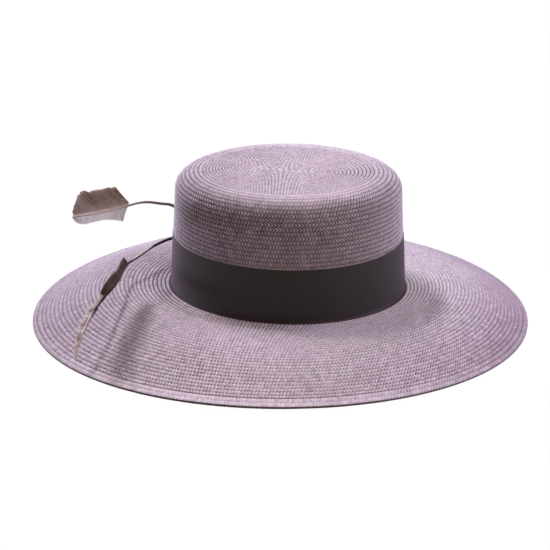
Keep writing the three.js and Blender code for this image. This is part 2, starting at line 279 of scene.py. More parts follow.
def straw_point(angle, row):
    """The straw's outside at an angle round the crown and a count of woven rows from its centre."""
    angle, row = np.broadcast_arrays(np.asarray(angle, float), np.asarray(row, float))
    share = np.clip(row / TOP_ROWS, 0, 1)
    edge_x, edge_y = oval_point(angle, FLAT_REACH)
    line = CENTRE_LINE_HALF * np.cos(angle)
    line_x = CENTRE_LINE_X + line * math.cos(CENTRE_LINE_YAW)
    line_y = line * math.sin(CENTRE_LINE_YAW)
    top_x = line_x + (edge_x - line_x) * share
    top_y = line_y + (edge_y - line_y) * share
    top = np.stack([top_x, top_y, leaned(top_x, top_y, CROWN_TOP_Z)], axis=-1)

    reach, height, length = SIDE_PROFILE
    along = np.clip((row - SIDE_START) / SIDE_ROWS, 0, 1)
    side_x, side_y = oval_point(angle, np.interp(along, length, reach))
    side_z = leaned(side_x, side_y, np.interp(along, length, height))
    side = np.stack([side_x, side_y, side_z], axis=-1)

    hem = hem_share(angle)
    on_brim = np.clip((row - BRIM_START) / BRIM_ROWS, 0, 1) * hem
    on_hem = np.clip((row - HEM_START) / HEM_ROWS, 0, None) * (1 - hem)
    brim = np.stack(brim_point(angle, on_brim + on_hem), axis=-1)

    is_top = (row < SIDE_START)[..., None]
    is_brim = (row > BRIM_START)[..., None]
    return np.where(is_top, top, np.where(is_brim, brim, side))


def straw_normal(angle, row):
    """Outward unit normal of the straw's outside."""
    turn = 1e-3
    step = 0.05
    angle, row = np.broadcast_arrays(np.asarray(angle, float), np.asarray(row, float))
    low = np.maximum(row - step, CENTRE_ROW)
    high = np.minimum(row + step, RIM_ROW)
    across = straw_point(angle, high) - straw_point(angle, low)
    round_it = straw_point(angle + turn, row) - straw_point(angle - turn, row)
    normal = np.cross(across, round_it)
    normal = np.where((row < TOP_ROWS - 1)[..., None], (0.0, 0.0, 1.0), normal)
    return normal / np.linalg.norm(normal, axis=-1, keepdims=True)


def even_angles(row, count):
    """That many angles, evenly spaced along a row, and the row's length."""
    fine = np.linspace(0, 2 * math.pi, ROUND_STEPS + 1) + math.pi / 2
    points = straw_point(fine, row)
    length = np.concatenate([[0], np.cumsum(np.linalg.norm(np.diff(points, axis=0), axis=1))])
    return np.interp(np.arange(count) / count * length[-1], length, fine), length[-1]


# Mesh making

def make_mesh(name, points, quads, layers=None, smooth=True):
    """A mesh object from an array of points and an array of quads, with float layers by point."""
    mesh = bpy.data.meshes.new(name)
    mesh.vertices.add(len(points))
    mesh.vertices.foreach_set("co", np.asarray(points, np.float32).ravel())
    quads = np.asarray(quads, np.int32)
    mesh.loops.add(quads.size)
    mesh.loops.foreach_set("vertex_index", quads.ravel())
    mesh.polygons.add(len(quads))
    mesh.polygons.foreach_set("loop_start", np.arange(len(quads), dtype=np.int32) * 4)
    mesh.polygons.foreach_set("loop_total", np.full(len(quads), 4, np.int32))
    mesh.polygons.foreach_set("use_smooth", np.full(len(quads), smooth))
    for layer, values in (layers or {}).items():
        attribute = mesh.attributes.new(layer, "FLOAT", "POINT")
        attribute.data.foreach_set("value", np.asarray(values, np.float32).ravel())
    mesh.update(calc_edges=True)
    mesh.validate()
    piece = bpy.data.objects.new(name, mesh)
    bpy.context.scene.collection.objects.link(piece)
    return piece


def grid_quads(rows, columns, closed, start=0, flip=False):
    """Quads between the points of a grid, rows first. closed joins the last column to the first."""
    spans = columns if closed else columns - 1
    i, j = np.meshgrid(np.arange(rows - 1), np.arange(spans), indexing="ij")
    after = (j + 1) % columns
    corners = [
        i * columns + j,
        (i + 1) * columns + j,
        (i + 1) * columns + after,
        i * columns + after,
    ]
    if flip:
        corners.reverse()
    return np.stack(corners, axis=-1).reshape(-1, 4) + start


class Parts:
    """Collects grids of points into one mesh."""

    def __init__(self):
        self.points = []
        self.quads = []
        self.layers = {}
        self.count = 0

    def add(self, grid, closed, flip=False, **layers):
        rows, columns = grid.shape[:2]
        self.points.append(grid.reshape(-1, 3))
        self.quads.append(grid_quads(rows, columns, closed, self.count, flip))
        for name, values in layers.items():
            values = np.broadcast_to(values, (rows, columns)).ravel()
            self.layers.setdefault(name, []).append(values)
        self.count += rows * columns

    def mesh(self, name):
        layers = {key: np.concatenate(values) for key, values in self.layers.items()}
        return make_mesh(name, np.concatenate(self.points), np.concatenate(self.quads), layers)


def weld(piece, distance):
    """Joins the points of a piece that lie together."""
    modifier = piece.modifiers.new("weld", "WELD")
    modifier.merge_threshold = distance


# Woven straw

def wall_thickness(row):
    """The straw's thickness, which is greater on the turned hem."""
    return np.where(row > HEM_START, HEM_WALL, STRAW_WALL)[..., None]


def zone_of(row):
    """The zone of a row and how many stitches the row has."""
    if row < SIDE_START:
        return TOP, TOP["count"] + TOP["growth"] * row
    if row < BRIM_START:
        return SIDE, SIDE["count"] + SIDE["growth"] * (row - SIDE_START)
    return BRIM, BRIM["count"] + BRIM["growth"] * (row - BRIM_START)


def stitch_columns(row, count, along):
    """The angles of the points along a row of stitches, each one's place in its stitch, and the
    angle that its stitch spans.
    """
    angles, _ = even_angles(row, count)
    step = np.diff(np.append(angles, angles[0] + 2 * math.pi))
    columns = (angles[:, None] + step[:, None] * along[None, :]).ravel()
    return columns, np.tile(along, count), np.repeat(step, len(along))


def near_foot(row):
    """1 on the brim's first row, falling to 0 a few rows out, and 0 on the crown."""
    return np.interp(row - BRIM_START, (0, FOOT_ROWS), (1, 0)) if row >= BRIM_START else 0


def row_hollow_and_shade(row, angle, u, v, loose):
    """How deep a row sinks at its points, which is also how much painted shade they get: in the
    hole between stitches, in the crease between a stitch's strands, and in the shallow groove
    between rows.
    """
    zone, _ = zone_of(row)
    at_end = np.cos(angle) ** 2
    at_right = np.clip(np.cos(angle), 0, 1)
    beside = np.interp(np.minimum(u, 1 - u), *HOLLOW_ALONG)
    hole = beside * np.interp(v, *HOLE_ACROSS)
    crease = zone["crease"] * beside * (1 - FOOT_CREASE_LOSS * near_foot(row))
    if zone is SIDE:
        crease = crease * np.interp(row - SIDE_START, *SHOULDER_CREASE)
    edge = zone["edge"] * np.interp(v, *EDGE_ACROSS) * (NEAR_EDGE + (1 - NEAR_EDGE) * at_end)
    edge = edge * (1 + FOOT_EDGE_GAIN * near_foot(row) * (1 - at_right))
    hollow = np.clip(np.maximum(hole, crease) * loose + edge * (1 - hole), 0, 1)
    # The brim's first rows sink deeper and carry more painted shade, less so at +X
    if BRIM_START <= row < BRIM_START + SHARP_ROWS:
        hollow = np.clip(hollow * (SHARPNESS - RIGHT_SHARPNESS_LOSS * at_right), 0, 1)
    # The straw row under the ribbon's lower edge sinks and is painted in shade
    if row == BRIM_START - 1:
        hollow = np.maximum(hollow, FOOT_ROW_SINK_AND_PAINTED_SHADE)
    if row >= HEM_START:
        hollow = hollow * (HEM_SMOOTHNESS + (1 - HEM_SMOOTHNESS) * at_end)
    if row == HEM_START - 1:
        seam = np.interp(v, *SEAM_ACROSS) * (1 - END_SEAM_LOSS * at_end)
        hollow = np.maximum(hollow, seam)
    return hollow


def painted_light_and_shade(row, angle):
    """How much painted shade the straw carries at a place on the hat, or painted light where below
    0.
    """
    zone, _ = zone_of(row)
    at_end = np.cos(angle) ** 2
    if zone is TOP:
        return TOP_PAINTED_SHADE
    if zone is SIDE:
        return (1 - at_end) * np.interp(row - SIDE_START, *SIDE_FACE_PAINTED_LIGHT_AND_SHADE)
    outward = min((row - BRIM_START) / BRIM_ROWS, 1)
    at_right = np.clip(np.cos(angle), 0, 1)
    at_back_right = np.clip(np.cos(angle - BACK_RIGHT_ANGLE), 0, 1) ** BACK_RIGHT_POWER
    # Painted shade at the crown's foot, at the brim's ends and back right, and at +X painted light
    # by the foot and shade further out
    tone = FOOT_PAINTED_SHADE * near_foot(row) + at_right * np.interp(outward, *BRIM_RIGHT_PAINTED_LIGHT_AND_SHADE)
    return tone + (BRIM_END_PAINTED_SHADE * at_end + BACK_RIGHT_PAINTED_SHADE * at_back_right) * outward


def weave_row(parts, row, across, along, side, rng):
    """One row of plump stitches, each a pair of strands that meet in a V.

    across and along are the places of points over a stitch. side is 1 on the outside of the hat
    and -1 on its inside.
    """
    zone, count = zone_of(row)
    columns, places, step = stitch_columns(row + 0.5, count, along)
    angle, v = np.meshgrid(columns, across)
    u = np.broadcast_to(places, angle.shape)
    angle = angle + step * zone["slant"] * (1 - np.abs(2 * v - 1))
    loose = np.repeat(rng.uniform(*LOOSENESS, count), len(along))
    # The same value sinks each point and paints shade into it
    hollow = row_hollow_and_shade(row, angle, u, v, loose)
    tone = np.broadcast_to(np.repeat(rng.normal(0, 1, count), len(along)), u.shape)
    plump = 1 - zone["round"] * (2 * v - 1) ** 2
    height = RIDGE_HEIGHT * plump - (RIDGE_HEIGHT + GROOVE_DEPTH) * hollow
    height = height + UNEVEN_HEIGHT * tone * (1 - hollow)
    spots = row + v
    normal = straw_normal(angle, spots)
    points = straw_point(angle, spots)
    if side < 0:
        points = points - normal * wall_thickness(spots)
    points = points + side * normal * height[..., None]
    # Each stitch's own random tone, plus painted light and shade by place
    tone = tone + painted_light_and_shade(row, angle)
    parts.add(points, True, flip=side < 0, hollow=hollow, tone=tone)


def weave(name, first, last, seed, side=1, fine=True):
    """The rows from first up to last, on one side of the straw."""
    rng = np.random.default_rng(seed)
    parts = Parts()
    across = FINE_ACROSS if fine else PLAIN_ACROSS
    along = FINE_ALONG if fine else PLAIN_ALONG
    for row in range(first, last):
        weave_row(parts, row, across, along, side, rng)
    return parts.mesh(name)


def straw_core():
    """The closed wall behind the stitches, a little inside them on both faces, painted all in
    shade.
    """
    angle = np.linspace(0, 2 * math.pi, CORE_COLUMNS, endpoint=False)
    rows = np.concatenate([
        np.linspace(CENTRE_ROW, TOP_ROWS, CORE_TOP_ROWS),
        np.linspace(SIDE_START, BRIM_START, CORE_SIDE_ROWS)[1:],
        np.linspace(BRIM_START, HEM_START, CORE_BRIM_ROWS)[1:],
        np.linspace(HEM_START, RIM_ROW - CORE_RIM_INSET, CORE_HEM_ROWS)[1:],
    ])
    grid_angle, grid_row = np.meshgrid(angle, rows)
    outside = straw_point(grid_angle, grid_row)
    normal = straw_normal(grid_angle, grid_row)
    top = outside - normal * CORE_DEPTH
    under = outside - normal * (wall_thickness(grid_row) - CORE_DEPTH)
    centre = np.repeat(top[:1].mean(axis=1, keepdims=True), CORE_COLUMNS, axis=1)
    under_centre = np.repeat(under[:1].mean(axis=1, keepdims=True), CORE_COLUMNS, axis=1)
    parts = Parts()
    grid = np.concatenate([centre, top, under[::-1], under_centre])
    parts.add(grid, True, hollow=1.0, tone=0.0)
    piece = parts.mesh("straw_core")
    weld(piece, distance=0.01 * MM)
    return piece


def rim_edge(seed):
    """The folded edge of the hem, as stitches round the rim, painted dark as shade all round and
    least on top.
    """
    rng = np.random.default_rng(seed)
    _, count = zone_of(RIM_ROW)
    columns, u, _ = stitch_columns(RIM_ROW, count, PLAIN_ALONG)
    tone = np.repeat(rng.normal(0, 1, count), len(PLAIN_ALONG))
    crease = np.clip(1 - np.minimum(u, 1 - u) / RIM_GROOVE_WIDTH, 0, 1)
    half = HEM_WALL / 2
    points = []
    for turn in RIM_TURNS:
        out = half * math.cos(turn)
        groove = RIM_GROOVE * crease * (1 if out > 0 else -1)
        x, y = rim_point(columns, half - out + groove)
        z = np.maximum(rest_height(columns) + half - half * math.sin(turn), LOWEST_RIM)
        points.append(np.stack([x, y, z], axis=-1))
    parts = Parts()
    grid = np.array(points)
    shade = np.interp(-half * np.sin(RIM_TURNS), (-half, 0.0, half), RIM_PAINTED_SHADES)
    hollow = np.maximum(shade[:, None], RIM_GROOVE_PAINTED_SHADE * crease[None, :])
    parts.add(grid, True, hollow=hollow, tone=tone)
    return parts.mesh("straw_rim_edge")


# Ribbon

def ribbon_ring(angles, height, reach):
    """Points round the crown at a height above the ribbon's lower edge, out from its wall."""
    z = RIBBON_BOTTOM_Z + height
    x, y = oval_point(angles, wall_reach(z) + reach)
    return np.stack([x, y, leaned(x, y, np.full_like(x, z))], axis=-1)


def ribbon_band():
    """The band: upright ribs, a plain selvedge at each edge, and a little play in how it lies."""
    _, length = even_angles(RIBBON_ROW, 1)
    ribs = round(length / RIB_PITCH)
    angles, _ = even_angles(RIBBON_ROW, ribs * len(RIB_SHAPE))
    rib = np.tile(RIB_SHAPE, ribs)
    slack = SLACK * np.sin(angles * SLACK_WAVES[0] + SLACK_TURN) * np.sin(angles * SLACK_WAVES[1])
    back = [ribbon_ring(angles, RIBBON_HEIGHTS[end], RIBBON_GAP) for end in (-1, 0)]
    face = []
    for height, fullness in zip(RIBBON_HEIGHTS, RIB_FULLNESS):
        belly = slack * np.sin(math.pi * height / RIBBON_WIDTH)
        out = RIBBON_GAP + RIBBON_THICKNESS - RIB_DEPTH * (1 - rib) * fullness + belly
        face.append(ribbon_ring(angles, height, np.maximum(out, RIBBON_GAP + THINNEST_RIBBON)))
    grid = np.array([*back, *face, back[0]])
    fullness = np.array([0.0, 0.0, *RIB_FULLNESS, 0.0])
    parts = Parts()
    # Painted shade lies between the ribs, fainter along the selvedges
    parts.add(grid, True, flip=True, valley=fullness[:, None] * (1 - rib)[None, :])
    piece = parts.mesh("ribbon_cloth")
    weld(piece, distance=0.004 * MM)
    return piece, length


def keeper_point(along, out, height):
    """A point near the keeper: along the ribbon, out from it, and above its lower edge."""
    step = 0.001
    here = np.array(oval_point(KEEPER_ANGLE, 0))
    ahead = np.array(oval_point(KEEPER_ANGLE + step, 0)) - here
    ahead /= np.linalg.norm(ahead)
    outward = np.array([ahead[1], -ahead[0]])
    z = RIBBON_BOTTOM_Z + height
    plan = here + ahead * along + outward * (wall_reach(z) + RIBBON_GAP + RIBBON_THICKNESS + out)
    return np.array([plan[0], plan[1], leaned(plan[0], plan[1], z)])


def ribbon_keeper():
    """A flat loop of the same ribbon that runs over the quills on the far side."""
    ribs = round(KEEPER_WIDTH / RIB_PITCH)
    along = np.linspace(-KEEPER_WIDTH / 2, KEEPER_WIDTH / 2, ribs * len(RIB_SHAPE) + 1)
    rib = np.tile(RIB_SHAPE, ribs + 1)[: len(along)]
    top = RIBBON_WIDTH - KEEPER_INSET
    path = [(out * MM, KEEPER_INSET + inward * MM) for out, inward in KEEPER_END]
    path.append((KEEPER_STANDOFF, RIBBON_WIDTH / 2))
    path += [(out * MM, top - inward * MM) for out, inward in reversed(KEEPER_END)]
    face = KEEPER_THICKNESS - RIB_DEPTH * (1 - rib)
    outer = []
    inner = []
    for out, height in path:
        outer.append([keeper_point(a, out + thick, height) for a, thick in zip(along, face)])
        inner.append([keeper_point(a, out, height) for a in along])
    grid = np.array(outer + inner[::-1] + outer[:1])
    # Painted shade between the ribs on the keeper's outer face
    inner_valley = np.zeros((len(path) + 1, len(along)))
    valley = np.concatenate([np.tile(1 - rib, (len(path), 1)), inner_valley])
    parts = Parts()
    parts.add(grid, False, valley=valley)
    return parts.mesh("ribbon_keeper_loop")


# Feathers

# Each quill's route beyond the keeper, from the crown's centre and the ribbon's lower edge, in mm
UPPER_ROUTE = [
    (-100.9, 40.0, 53.3), (-110.8, 24.0, 62.0), (-121.4, 7.0, 70.3), (-128.7, -7.0, 75.1),
    (-135.5, -19.0, 77.8), (-145.3, -35.0, 81.2), (-156.6, -53.0, 85.0), (-168.3, -70.0, 89.8),
    (-176.8, -85.0, 94.8),
]
LOWER_ROUTE = [
    (-102.0, 42.0, 21.6), (-116.6, 32.0, 19.1), (-128.8, 14.0, 17.4), (-138.8, 0.0, 15.4),
    (-144.4, -36.0, 15.9), (-150.1, -62.0, 16.8), (-154.7, -74.0, 16.4), (-160.3, -90.0, 13.7),
    (-165.3, -102.0, 9.2), (-168.9, -112.0, 3.8), (-171.6, -117.0, -2.9), (-175.1, -122.0, -16.1),
]

# Each vane by the share of its shaft: how far it reaches above and below the shaft in mm, how many
# degrees it leans out, and how pale each side is
COLUMNS = ("share", "above", "below", "lean", "pale_above", "pale_below")
UPPER_VANE = [
    (0.0, 22.5, 15.4, -15, 0.0, 1.0),
    (0.12, 24.3, 13.4, -15, 0.05, 1.0),
    (0.35, 25.3, 8.9, -15, 0.1, 1.0),
    (0.5, 25.5, 7.9, -15, 0.2, 1.0),
    (0.6, 22.0, 8.5, -15, 0.3, 1.0),
    (0.7, 17.8, 9.1, -15, 0.3, 1.0),
    (0.8, 13.8, 7.6, -15, 0.2, 1.0),
    (0.9, 9.8, 5.2, -15, 0.1, 0.9),
    (1.0, 4.4, 1.0, -15, 0.1, 0.8),
]
LOWER_VANE = [
    (0.0, 9.4, 0.6, 6, 0.0, 0.0),
    (0.12, 12.4, 0.6, 6, 0.0, 0.0),
    (0.22, 11.8, 0.8, 6, 0.0, 0.0),
    (0.3, 9.4, 1.0, 6, 0.0, 0.0),
    (0.35, 7.0, 1.4, 10, 0.0, 0.0),
    (0.37, 5.6, 1.8, 16, 1.0, 0.0),
    (0.5, 4.8, 2.2, 34, 1.0, 0.0),
    (0.62, 4.6, 1.8, 44, 1.0, 0.4),
    (0.75, 4.4, 1.6, 46, 1.0, 1.0),
    (0.88, 3.6, 1.4, 46, 1.0, 1.0),
    (1.0, 2.0, 0.8, 46, 1.0, 1.0),
]

# Each feather: base is the route's point where the vane begins. butt and height place the quill at
# the keeper, out from the ribbon and above its lower edge. radius runs along the whole quill, and
# quill_pale, glint and ragged run along the vane. sweep is in degrees, above and below the shaft
UPPER = {
    "name": "upper", "route": UPPER_ROUTE, "table": UPPER_VANE,
    "base": 4, "butt": 1.15, "height": 34.0,
    "radius": ((0.0, 0.2, 0.27, 0.6, 1.0), (1.15, 1.15, 1.4, 1.0, 0.5)),
    "sweep": (57, 0), "barbs": 210, "barb_width": 0.75,
    "quill_pale": ((0.0, 0.02, 1.0), (0.0, 0.55, 0.55)),
    "glint": ((-1.0, 1.0), (0.0, 0.0)),
    "ragged": ((0.0, 1.0), (0.08, 0.08)), "twist": 0.0,
}
LOWER = {
    "name": "lower", "route": LOWER_ROUTE, "table": LOWER_VANE,
    "base": 3, "butt": 1.0, "height": 20.0,
    "radius": ((0.0, 0.2, 0.27, 0.45, 1.0), (1.0, 1.0, 1.3, 1.0, 0.4)),
    "sweep": (40, 0), "barbs": 300, "barb_width": 0.9,
    "quill_pale": ((0.0, 0.52, 0.62, 1.0), (0.0, 0.0, 1.0, 1.0)),
    "glint": ((-0.24, -0.19, -0.06, -0.02), (0.0, 1.0, 1.0, 0.0)),
    "ragged": ((0.0, 0.34, 0.42, 1.0), (0.04, 0.04, 0.6, 0.6)), "twist": 50.0,
}

# Quills: the part behind the keeper, steps between route points, points round, the share of the
# radius left at the two ends, and how the painted light on the pale stretches and the painted glint
# grow upwards
QUILL_STUB = 10.0 * MM
QUILL_STEPS = 10
QUILL_SIDES = 12
BUTT_SHARE = 0.4
TIP_SHARE = 0.2
PALE_UPWARDS = (2.0, 0.6)
GLINT_UPWARDS = (4.0, -2.6)

# Barbs: steps of the shaft between route points, points along a barb, barbs in a clump, and how
# much single barbs and clumps differ in length and shade
VANE_STEPS = 24
BARB_POINTS = 9
CLUMP_BARBS = 7
BARB_LENGTH_SPREAD = 0.12
CLUMP_LENGTH_SPREAD = 0.22
SHORTEST_BARB = 0.3
CLUMP_TONE = 0.7

# A barb leaves the shaft square and sweeps back beyond STRAIGHT_REACH. Its tip strays a little
# out of the blade and along it, and more where the vane is ragged
STRAIGHT_REACH = 2.3 * MM
BARB_CAMBER = 0.06
STRAY_OUT = (0.06 * MM, 0.5 * MM)
STRAY_ALONG = (0.08 * MM, 0.8 * MM)
TWIST_WAVES = 38
BARB_RIDGE = 0.16 * MM
TIP_LOSS = 0.6
TIP_POWER = 12


def table_column(table, share, column):
    """A column's value at a share of the table's length."""
    rows = np.array(table)
    return np.interp(share, rows[:, 0], rows[:, COLUMNS.index(column)])


def centripetal(points, steps):
    """A smooth curve through the points, with that many steps between neighbours."""
    points = np.array([2 * points[0] - points[1], *points, 2 * points[-1] - points[-2]])
    out = []
    for i in range(1, len(points) - 2):
        p = points[i - 1:i + 3]
        spans = np.linalg.norm(np.diff(p, axis=0), axis=1) ** 0.5
        knots = np.concatenate([[0], np.cumsum(spans)])
        t = np.linspace(knots[1], knots[2], steps, endpoint=False)[:, None]
        a = [
            ((knots[k + 1] - t) * p[k] + (t - knots[k]) * p[k + 1]) / (knots[k + 1] - knots[k])
            for k in range(3)
        ]
        b = [
            ((knots[k + 2] - t) * a[k] + (t - knots[k]) * a[k + 1]) / (knots[k + 2] - knots[k])
            for k in range(2)
        ]
        out.append(((knots[2] - t) * b[0] + (t - knots[1]) * b[1]) / (knots[2] - knots[1]))
    out.append(points[-2:-1])
    return np.concatenate(out)


def quill_path(feather, steps):
    """The quill's centre line, and the number of its point where the vane begins."""
    route = np.array(feather["route"]) * MM + np.array([CROWN_CENTRE_X, 0, RIBBON_BOTTOM_Z])
    out = RIBBON_GAP + feather["butt"] * MM
    height = feather["height"] * MM
    middle = keeper_point(0, out, height)
    slope = (route[0][2] - middle[2]) / np.linalg.norm(route[0] - middle)
    points = [
        keeper_point(-QUILL_STUB, out, height - QUILL_STUB * slope),
        keeper_point(-QUILL_STUB / 2, out, height - QUILL_STUB / 2 * slope),
        middle,
        keeper_point(KEEPER_WIDTH / 2, out, height + KEEPER_WIDTH / 2 * slope),
        *route,
    ]
    before_route = len(points) - len(route)
    return centripetal(points, steps), (before_route + feather["base"]) * steps


def cross_frames(path):
    """Unit directions along a path, level across it, and up from it."""
    tangent = np.gradient(path, axis=0)
    tangent /= np.linalg.norm(tangent, axis=1, keepdims=True)
    side = np.cross(tangent, [0, 0, 1])
    side /= np.linalg.norm(side, axis=1, keepdims=True)
    return tangent, side, np.cross(side, tangent)


def upwards(above, slope, start):
    """A share that grows with how far a point faces up."""
    return np.clip(above * slope + start, 0, 1)


def quill(feather):
    """A tapered round shaft, closed at both ends."""
    path, base = quill_path(feather, QUILL_STEPS)
    _, side, up = cross_frames(path)
    radius = np.interp(np.linspace(0, 1, len(path)), *feather["radius"]) * MM
    radius[0] *= BUTT_SHARE
    radius[-1] *= TIP_SHARE
    turn = np.linspace(0, 2 * math.pi, QUILL_SIDES, endpoint=False)
    ring = up[:, None] * np.cos(turn)[None, :, None] + side[:, None] * np.sin(turn)[None, :, None]
    grid = path[:, None] + ring * radius[:, None, None]
    start = np.repeat(path[:1, None], QUILL_SIDES, axis=1)
    end = np.repeat(path[-1:, None], QUILL_SIDES, axis=1)
    grid = np.concatenate([start, grid, end])
    above = np.broadcast_to(np.cos(turn), grid.shape[:2])
    rings = np.clip(np.arange(len(grid)) - 1, 0, len(path) - 1)
    on_vane = ((rings - base) / (len(path) - 1 - base))[:, None]
    # The pale stretches fade on the underside as painted shade, and the glint is a painted
    # highlight
    pale = np.interp(on_vane, *feather["quill_pale"]) * upwards(above, *PALE_UPWARDS)
    pale = pale + np.interp(on_vane, *feather["glint"]) * upwards(above, *GLINT_UPWARDS)
    parts = Parts()
    parts.add(grid, True, flip=True, above=above, pale=pale)
    piece = parts.mesh(feather["name"] + "_quill")
    weld(piece, distance=0.001 * MM)
    return piece


def part_way(share, values):
    """The point or direction at a share of a list of them."""
    index = np.linspace(0, 1, len(values))
    return np.array([np.interp(share, index, values[:, c]) for c in range(3)])


def barb(parts, feather, shaft, share, edge, clump, rng):
    """A thin three-sided strand that tapers to its tip, at a share of the vane's shaft.

    shaft is the shaft's points and directions, and edge says which side of it the barb is on.
    """
    sign, width_name, pale_name, sweep = edge
    centre, along, out, rise = (part_way(share, line) for line in shaft)
    ragged = float(np.interp(share, *feather["ragged"]))
    lean = table_column(feather["table"], share, "lean")
    lean = math.radians(lean + feather["twist"] * ragged * math.sin(TWIST_WAVES * share))
    blade = rise * math.cos(lean) + out * math.sin(lean)
    normal = np.cross(along, blade)
    uneven = BARB_LENGTH_SPREAD * rng.normal() + CLUMP_LENGTH_SPREAD * clump
    length = table_column(feather["table"], share, width_name) * MM
    length *= max(SHORTEST_BARB, 1 + ragged * uneven)

    slant = math.tan(math.radians(sweep))
    reach = np.linspace(0, 1, BARB_POINTS)
    height = reach * length
    stray_out = (STRAY_OUT[0] + STRAY_OUT[1] * ragged) * rng.normal()
    stray_along = (STRAY_ALONG[0] + STRAY_ALONG[1] * ragged) * rng.normal()
    camber = BARB_CAMBER * length * np.sin(math.pi * reach) + stray_out * reach
    swept = np.maximum(0, height - STRAIGHT_REACH) * slant + stray_along * reach
    spine = centre + sign * blade * height[:, None] + along * swept[:, None]
    spine = spine + normal * camber[:, None]
    across = along - blade * slant * sign
    across /= np.linalg.norm(across)
    half = feather["barb_width"] / 2 * MM * (1 - TIP_LOSS * reach ** TIP_POWER)
    sides = [
        spine + across * half[:, None],
        spine - across * half[:, None],
        spine + normal * (BARB_RIDGE * (1 - TIP_LOSS * reach))[:, None],
    ]
    parts.add(
        np.stack(sides, axis=1), True, flip=sign < 0,
        pale=table_column(feather["table"], share, pale_name),
        reach=(sign * reach)[:, None],
        tone=rng.normal() + CLUMP_TONE * clump,
    )


def vane(feather, seed):
    """Barbs on both sides of the shaft, longer and shorter by clumps."""
    rng = np.random.default_rng(seed)
    path, base = quill_path(feather, VANE_STEPS)
    path = path[base:]
    shaft = (path, *cross_frames(path))
    parts = Parts()
    count = feather["barbs"]
    knots = np.arange(0, count + CLUMP_BARBS, CLUMP_BARBS)
    clump = np.interp(np.arange(count), knots, rng.normal(0, 1, len(knots)))
    above_sweep, below_sweep = feather["sweep"]
    for edge in (
        (1, "above", "pale_above", above_sweep),
        (-1, "below", "pale_below", below_sweep),
    ):
        for k in range(count):
            barb(parts, feather, shaft, (k + 0.5) / count, edge, clump[k], rng)
    return parts.mesh(feather["name"] + "_vane")


# Materials

def srgb(red, green, blue):
    """A colour from 0 to 255 as a linear one."""
    values = [c / 255 for c in (red, green, blue)]
    linear = [v / 12.92 if v <= 0.04045 else ((v + 0.055) / 1.055) ** 2.4 for v in values]
    return (*linear, 1.0)


STRAW_LIGHT = srgb(240, 223, 242)
STRAW_DEEP = srgb(180, 158, 180)
# The dark colour that paints shade into the weave's hollows
STRAW_PAINTED_SHADE = srgb(50, 32, 42)
STRAW_SHEEN = srgb(228, 218, 240)
RIBBON_THREAD = srgb(54, 48, 44)
RIBBON_THREAD_RED = srgb(60, 48, 54)
# The dark colour that paints shade between the ribs
RIBBON_VALLEY_SHADE = srgb(26, 21, 22)
RIBBON_SHEEN = srgb(220, 190, 232)
QUILL_PALE_AND_HIGHLIGHT = srgb(236, 218, 212)
SHEEN_ROUGHNESS = 0.4
PAINTED_SHADE_POWER = 1.3
FROST_POWER = 1.5
# Each quill's colour on top and underneath, lighter on top as painted light and shade
QUILL_LOOKS = {
    "upper": {"top": srgb(186, 168, 172), "low": srgb(80, 66, 66)},
    "lower": {"top": srgb(30, 24, 27), "low": srgb(12, 10, 12)},
}
VANE_LOOKS = {
    "upper": {
        "dark": srgb(250, 234, 224), "deep": srgb(208, 190, 180), "pale": srgb(255, 250, 252),
        "frost": 0.6, "sheerness": 0.75,
    },
    "lower": {
        "dark": srgb(176, 148, 144), "deep": srgb(134, 112, 108), "pale": srgb(255, 244, 246),
        "frost": 0.0, "sheerness": 0.6,
    },
}


def shader(name, roughness, specular, sheen=0.0, sheen_tint=(1, 1, 1, 1)):
    """A new material with its node tree and its main node."""
    material = bpy.data.materials.new(name)
    material.use_nodes = True
    tree = material.node_tree
    bsdf = tree.nodes["Principled BSDF"]
    bsdf.inputs["Roughness"].default_value = roughness
    bsdf.inputs["Specular IOR Level"].default_value = specular
    bsdf.inputs["Sheen Weight"].default_value = sheen
    bsdf.inputs["Sheen Roughness"].default_value = SHEEN_ROUGHNESS
    bsdf.inputs["Sheen Tint"].default_value = sheen_tint
    return material, tree, bsdf


def attribute(tree, name):
    node = tree.nodes.new("ShaderNodeAttribute")
    node.attribute_name = name
    return node.outputs["Fac"]


def fill(tree, socket, value):
    """Links a node's output to a socket, or sets the socket to a number or a colour."""
    if isinstance(value, (int, float, tuple)):
        socket.default_value = value
    else:
        tree.links.new(value, socket)


def math_node(tree, operation, *values, clamp=False):
    node = tree.nodes.new("ShaderNodeMath")
    node.operation = operation
    node.use_clamp = clamp
    for socket, value in zip(node.inputs, values):
        fill(tree, socket, value)
    return node.outputs[0]


def weighted(tree, *terms, start=0.0):
    """start plus each source times its weight, held between 0 and 1."""
    total = start
    for number, (source, weight) in enumerate(terms, 1):
        is_last = number == len(terms)
        total = math_node(tree, "MULTIPLY_ADD", source, weight, total, clamp=is_last)
    return total


def mix_colour(tree, factor, first, second):
    node = tree.nodes.new("ShaderNodeMix")
    node.data_type = "RGBA"
    fill(tree, node.inputs[0], factor)
    fill(tree, node.inputs[6], first)
    fill(tree, node.inputs[7], second)
    return node.outputs[2]


def noise(tree, scale, detail, roughness=0.5, stretch=None):
    coordinates = tree.nodes.new("ShaderNodeTexCoord").outputs["Object"]
    if stretch:
        mapping = tree.nodes.new("ShaderNodeMapping")
        mapping.inputs["Scale"].default_value = stretch
        tree.links.new(coordinates, mapping.inputs["Vector"])
        coordinates = mapping.outputs["Vector"]
    node = tree.nodes.new("ShaderNodeTexNoise")
    node.inputs["Scale"].default_value = scale
    node.inputs["Detail"].default_value = detail
    node.inputs["Roughness"].default_value = roughness
    tree.links.new(coordinates, node.inputs["Vector"])
    return node.outputs["Fac"]


